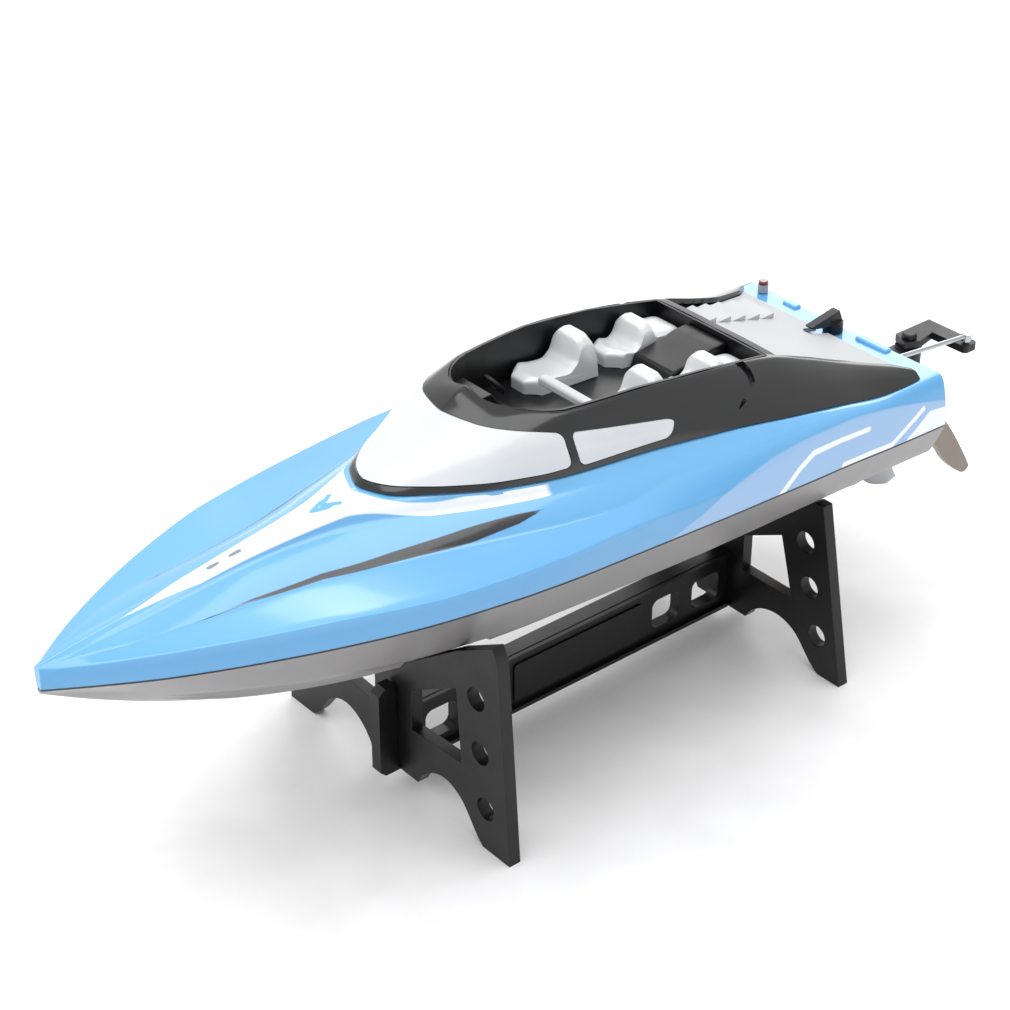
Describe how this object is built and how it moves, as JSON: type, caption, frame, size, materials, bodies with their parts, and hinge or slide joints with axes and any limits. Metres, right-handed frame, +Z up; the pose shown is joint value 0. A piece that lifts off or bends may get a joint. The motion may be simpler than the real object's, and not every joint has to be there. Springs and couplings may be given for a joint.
{
  "type": "rc boat",
  "caption": "Remote-controlled electric speedboat with a lift-up cabin cover, screw propeller and swinging rudder, resting on a slot-together display stand.",
  "frame": {"origin": "on the ground under the middle of the overall length", "axes": "+X towards the bow, +Y to port, +Z up"},
  "size_m": [0.3616, 0.1044, 0.1212],
  "materials": {
    "stand_black": "satin black cut sheet",
    "hull_grey": "smooth silver-grey moulded hull",
    "deck_blue": "light blue moulded deck with darker side bands",
    "seal_white": "pale soft sealing strip",
    "canopy_black": "gloss near-black shell",
    "glazing_white": "satin white glazing panels",
    "tub_black": "matte black moulding",
    "seat_silver": "silver moulded seats",
    "deck_grey": "light grey ribbed panel",
    "fitting_black": "black fittings",
    "lens_red": "dark red lens",
    "post_grey": "grey post",
    "steel": "bare steel rod and screws",
    "brass": "turned brass",
    "alloy": "turned light alloy",
    "rudder_bronze": "brown-grey moulded blade",
    "motor_black": "dark enamelled can",
    "battery_wrap": "blue shrink wrap",
    "electronics": "sealed black control box"
  },
  "bodies": {
    "stand": {"front_plate": "stand_black", "rear_plate": "stand_black", "centre_rail": "stand_black"},
    "boat": {"hull_shell": "hull_grey", "joint_seal": "seal_white", "deck_shell": "deck_blue", "hatch_seal": "seal_white", "inner_hatch": "tub_black", "hatch_screws": "steel", "stern_light_post": "post_grey", "stern_light_lens": "lens_red", "stern_tube": "brass", "propeller_strut": "alloy", "motor_can": "motor_black", "motor_end_bell": "fitting_black", "water_jacket": "alloy", "motor_mount": "fitting_black", "motor_screws": "steel", "battery_tray": "fitting_black", "battery_pack": "battery_wrap", "battery_strap": "fitting_black", "electronics_shelf": "fitting_black", "control_box": "electronics", "servo_shelf": "fitting_black", "servo_body": "electronics", "rod_guide": "fitting_black", "rudder_bracket": "fitting_black", "bracket_screws": "steel", "drain_plug": "alloy", "water_outlet": "alloy", "water_contacts": "steel"},
    "canopy": {"canopy_shell": "canopy_black", "windshield": "glazing_white", "side_window_port": "glazing_white", "side_window_starboard": "glazing_white", "cockpit_tub": "tub_black", "seat_front_port": "seat_silver", "seat_front_starboard": "seat_silver", "seat_rear_port": "seat_silver", "seat_rear_starboard": "seat_silver", "helm_console": "tub_black", "centre_console": "tub_black", "steering_wheel": "fitting_black", "cockpit_rail": "seat_silver", "rear_deck": "deck_grey", "deck_louvres": "deck_grey"},
    "latch": {"latch_knob": "fitting_black"},
    "drive": {"drive_shaft": "steel", "propeller": "deck_grey", "propeller_nut": "steel", "shaft_coupling": "alloy", "motor_shaft": "steel"},
    "rudder": {"rudder_stem": "steel", "rudder_blade": "rudder_bronze", "tiller_arm": "fitting_black", "tiller_bolt": "fitting_black"},
    "pushrod": {"pushrod": "steel"},
    "servo_arm": {"servo_arm": "post_grey", "servo_arm_screw": "steel"}
  },
  "joints": [
    {"name": "boat_lift", "type": "slide", "parent": "stand", "child": "boat", "axis": [0, 0, 1], "range_m": [0, 0.1]},
    {"name": "canopy_hinge", "type": "hinge", "parent": "boat", "child": "canopy", "pos_m": [0.0809, 0, 0.10435], "axis": [0, 1, 0], "range_deg": [0, 60]},
    {"name": "latch_turn", "type": "hinge", "parent": "boat", "child": "latch", "pos_m": [-0.1046, 0, 0.09], "axis": [0, 0, 1], "range_deg": [0, 90]},
    {"name": "propeller_spin", "type": "hinge", "parent": "boat", "child": "drive", "pos_m": [-0.124, 0, 0.0335], "axis": [0.9863, 0, 0.165], "continuous": true},
    {"name": "rudder_turn", "type": "hinge", "parent": "boat", "child": "rudder", "pos_m": [-0.1425, 0, 0.0716], "axis": [0, 0, 1], "range_deg": [-25, 25]},
    {"name": "pushrod_pivot", "type": "hinge", "parent": "rudder", "child": "pushrod", "pos_m": [-0.1541, 0.0141, 0.0766], "axis": [0, 0, 1], "range_deg": [-25, 25]},
    {"name": "servo_turn", "type": "hinge", "parent": "boat", "child": "servo_arm", "pos_m": [-0.0685, -0.011, 0.0726], "axis": [0, 0, 1], "range_deg": [-25, 25]}
  ],
  "couplings": [
    {"joint": "pushrod_pivot", "follows": "rudder_turn", "ratio": -1},
    {"joint": "servo_turn", "follows": "rudder_turn", "ratio": 1}
  ]
}
